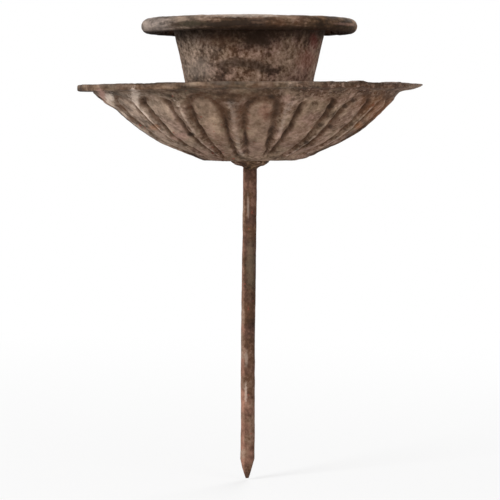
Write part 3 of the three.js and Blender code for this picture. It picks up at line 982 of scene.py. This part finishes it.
def pan_rust():
    """The pan's coat: greyer on the left and paler there in painted light, with a calm olive band under
    the lip, grooves dark with gathered paint and painted shade, worn strips with painted highlights on
    the left, flanks darker in painted shade, and the stains that the photo shows on the front"""
    rust = Rust("pan_rust", 0.0, lightness=-0.1, contrast=0.9, grainy=0.55)
    left = rust.both(rust.way("X", -10, -24), rust.way("Y", -3, -8), rust.way("Z", 18, 16))
    left = rust.both(left, rust.mark("outer"))
    left_wear_and_highlight = rust.both(rust.mark("raised"), left, rust.way("Z", 7, 12))
    rim = rust.ragged(rust.mark("rim"), 0.2, 1.0, 0.8, 2)
    band = rust.both(rim, rust.mark("outer"))
    pan_tone(rust, left, left_wear_and_highlight, rim, band)
    rust.coat()
    pan_hues(rust, band)
    pan_stains(rust, left_wear_and_highlight, band)
    pan_wear(rust)
    return rust.done()


def cup_rust():
    """The cup's coat: grainy, with painted shade under the flange, a calmer rolled edge with painted
    highlights along its top and painted shade on its lower half, and the stains that the photo shows on the
    front"""
    rust = Rust("cup_rust", 50.0, lightness=-0.06, contrast=0.9, grainy=1.1, streaked=0.0)
    bead = rust.mark("bead")
    rust.lighten_ovals(CUP_TONES)
    rust.brushed(bead, -0.06)
    rust.lighten_ovals(CUP_TONES_OVER_STREAKS)
    rust.coat()
    rust.tint(PINK, 0.5, 5, 3)
    rust.tint(OLIVE, 0.3, 6, 5)
    front = rust.both(rust.way("Y", 0, -6), rust.mark("outer"))
    rust.hue(rust.both(front, rust.way("X", -3, -16)), GREY_BROWN, 0.7)
    rust.hue(rust.both(front, bead, rust.way("X", -16, -23)), WARM_GREY)
    rust.hue(rust.both(front, bead, rust.way("X", 8, 22)), WARM_OLIVE, 0.7)
    rust.lay_ovals(CUP_EDGE_STAINS_AND_HIGHLIGHTS)
    rust.lay(rust.ragged(rust.mark("hollow"), 0.6, 1.1, 0.4), BLACK_BROWN, 0.5)
    rust.lay_ovals(CUP_WALL_STAINS)
    # Painted shade under the flange and on the rolled edge's lower half
    rust.lay(rust.ragged(rust.mark("shade"), 0.1, 0.95, 0.5), BLACK_BROWN, 0.85)
    rust.lay(rust.spot(16.2, 30.3, 1.2, 1.9), DEEP_RED, 0.65)
    return rust.done()


def spike_rust():
    """The nail's coat: even and red-brown, with a painted highlight along its left and painted shade
    along its right, paler towards its point, and painted light on its head
    """
    rust = Rust("spike_rust", 90.0, lightness=-0.17, contrast=0.45)
    rust.lighten(rust.spot(-0.5, -30, 3, 24, depth=0.3), -0.08)
    rust.lighten(rust.spot(0.2, -28, 1.6, 8, depth=0.3), -0.1)
    rust.lighten(rust.spot(-0.9, -67, 3, 13, depth=0.3), 0.03)
    rust.lighten(rust.spot(0.4, -71, 1.2, 9, depth=0.3), 0.08)
    # Painted shade along the nail's right and a painted highlight along its left
    rust.lighten(rust.way("X", 0.4, 1.7), -0.03)
    rust.lighten(rust.way("X", -1.0, -1.9), 0.2)
    rust.coat()
    rust.tint(RED_BROWN, 0.9, 5, 3)
    rust.rust_spots(RED_RUST, 2.2, 0.075, 23)
    # Painted light on the nail's head, which sits in the shade inside the cup
    rust.lay(rust.way("Z", 1, 2.2), MID_BROWN, 0.4)
    rust.lay(rust.spot(0.2, -27, 1.2, 7, depth=0.5), OLIVE, 0.3)
    rust.lay(rust.spot(-0.5, -12, 0.3, 3.0, depth=0.5), PALE_SCUFF, 0.18)
    rust.lay(rust.spot(-1.1, -60, 0.35, 2.6, depth=0.5), PALE_SCUFF, 0.35)
    rust.lay(rust.spot(-1.0, -51, 0.5, 2, depth=0.5), PALE_SCUFF, 0.2)
    rust.lay(rust.spot(-0.8, -82.3, 1.5, 1.6, depth=0.1), BLACK_BROWN, 0.5)
    rust.lay(rust.ragged(rust.mark("hollow"), 0.6, 1.1, 0.4), BLACK_BROWN, 0.4)
    return rust.done()


def plain_rust(name, seed, lightness, hue=OLIVE):
    """The coat on the pieces that show little, with patches of one hue"""
    rust = Rust(name, seed, lightness)
    rust.coat()
    rust.tint(hue, 0.7, 5, 3)
    rust.lay(rust.ragged(rust.mark("hollow"), 0.6, 1.1, 0.4), BLACK_BROWN, 0.6)
    return rust.done()


def seen_share(nodes, links):
    """1 for what is seen, by the camera, in a gloss or through glass, and 0 for light on the object"""
    path = nodes.new("ShaderNodeLightPath")
    share = path.outputs["Is Camera Ray"]
    for ray in ("Is Glossy Ray", "Is Transmission Ray"):
        larger = nodes.new("ShaderNodeMath")
        larger.operation = "MAXIMUM"
        links.new(share, larger.inputs[0])
        links.new(path.outputs[ray], larger.inputs[1])
        share = larger.outputs[0]
    return share


def add_floor():
    """A wide white floor, which keeps a soft shadow near the spike's point"""
    bpy.ops.mesh.primitive_plane_add(size=FLOOR_SIZE, location=(0, 0, nail_low[2] - FLOOR_DROP))
    floor = bpy.context.object
    floor.name = "floor"
    material = bpy.data.materials.new("pale_floor")
    material.use_nodes = True
    nodes, links = material.node_tree.nodes, material.node_tree.links
    nodes.clear()
    matt = nodes.new("ShaderNodeBsdfDiffuse")
    matt.inputs["Color"].default_value = (FLOOR_GREY, FLOOR_GREY, FLOOR_GREY, 1)
    glow = nodes.new("ShaderNodeEmission")
    glow.inputs["Color"].default_value = (1, 1, 1, 1)
    place = nodes.new("ShaderNodeNewGeometry")
    distance = nodes.new("ShaderNodeVectorMath")
    distance.operation = "LENGTH"
    links.new(place.outputs["Position"], distance.inputs[0])
    whiter = nodes.new("ShaderNodeMapRange")
    links.new(distance.outputs["Value"], whiter.inputs["Value"])
    whiter.inputs["From Min"].default_value = FLOOR_WHITE_FROM
    whiter.inputs["From Max"].default_value = FLOOR_WHITE_TO
    whiter.inputs["To Min"].default_value = FLOOR_WHITE_SHARES[0]
    whiter.inputs["To Max"].default_value = FLOOR_WHITE_SHARES[1]
    share = nodes.new("ShaderNodeMath")
    share.operation = "MULTIPLY"
    links.new(seen_share(nodes, links), share.inputs[0])
    links.new(whiter.outputs["Result"], share.inputs[1])
    mix = nodes.new("ShaderNodeMixShader")
    links.new(share.outputs[0], mix.inputs[0])
    links.new(matt.outputs[0], mix.inputs[1])
    links.new(glow.outputs[0], mix.inputs[2])
    output = nodes.new("ShaderNodeOutputMaterial")
    links.new(mix.outputs[0], output.inputs["Surface"])
    floor.data.materials.append(material)


def add_world():
    """Plain white for the camera, and a softer white light on the object"""
    world = bpy.data.worlds.new("white")
    world.use_nodes = True
    nodes, links = world.node_tree.nodes, world.node_tree.links
    nodes.clear()
    lit = nodes.new("ShaderNodeBackground")
    lit.inputs["Color"].default_value = (1, 1, 1, 1)
    lit.inputs["Strength"].default_value = WORLD_STRENGTH
    shown = nodes.new("ShaderNodeBackground")
    shown.inputs["Color"].default_value = (1, 1, 1, 1)
    shown.inputs["Strength"].default_value = 1.0
    mix = nodes.new("ShaderNodeMixShader")
    links.new(seen_share(nodes, links), mix.inputs[0])
    links.new(lit.outputs[0], mix.inputs[1])
    links.new(shown.outputs[0], mix.inputs[2])
    output = nodes.new("ShaderNodeOutputWorld")
    links.new(mix.outputs[0], output.inputs["Surface"])
    bpy.context.scene.world = world


def aim(thing, target):
    """Turns a lamp or camera towards a place"""
    direction = Vector(target) - thing.location
    thing.rotation_euler = direction.to_track_quat("-Z", "Y").to_euler()


def add_lamp(name, place, width, watts):
    """A round lamp aimed at the origin"""
    data = bpy.data.lights.new(name, "AREA")
    data.shape = "DISK"
    data.size = width
    data.energy = watts
    lamp = bpy.data.objects.new(name, data)
    lamp.location = place
    bpy.context.collection.objects.link(lamp)
    aim(lamp, (0, 0, 0))


def add_camera():
    """A camera in front of the holder, aimed at the middle of its height"""
    middle = (cup_high[2] + nail_low[2]) / 2
    data = bpy.data.cameras.new("camera")
    data.sensor_width = SENSOR_WIDTH
    data.lens = SENSOR_WIDTH * CAMERA_DISTANCE / FRAME_HEIGHT
    camera = bpy.data.objects.new("camera", data)
    camera.location = (0, -CAMERA_DISTANCE, CAMERA_HEIGHT)
    bpy.context.collection.objects.link(camera)
    aim(camera, (0, 0, middle))
    bpy.context.scene.camera = camera


add_camera()
add_floor()
add_world()
for lamp_name, lamp_values in LAMPS.items():
    add_lamp(lamp_name, *lamp_values)

drip_pan_piece(pan_rust())
candle_cup_piece(cup_rust())
nail_piece(spike_rust())
washer_piece(plain_rust("washer_rust", 130.0, -0.05))
weld_piece(plain_rust("weld_rust", 170.0, -0.22, WARM_OLIVE))

# The rim wire keeps its solid, because the cup's rolled edge hides it
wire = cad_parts["rim_wire"]
wire.data.materials.clear()
wire.data.materials.append(plain_rust("wire_rust", 210.0, -0.2))

bpy.context.scene.view_settings.view_transform = "Standard"
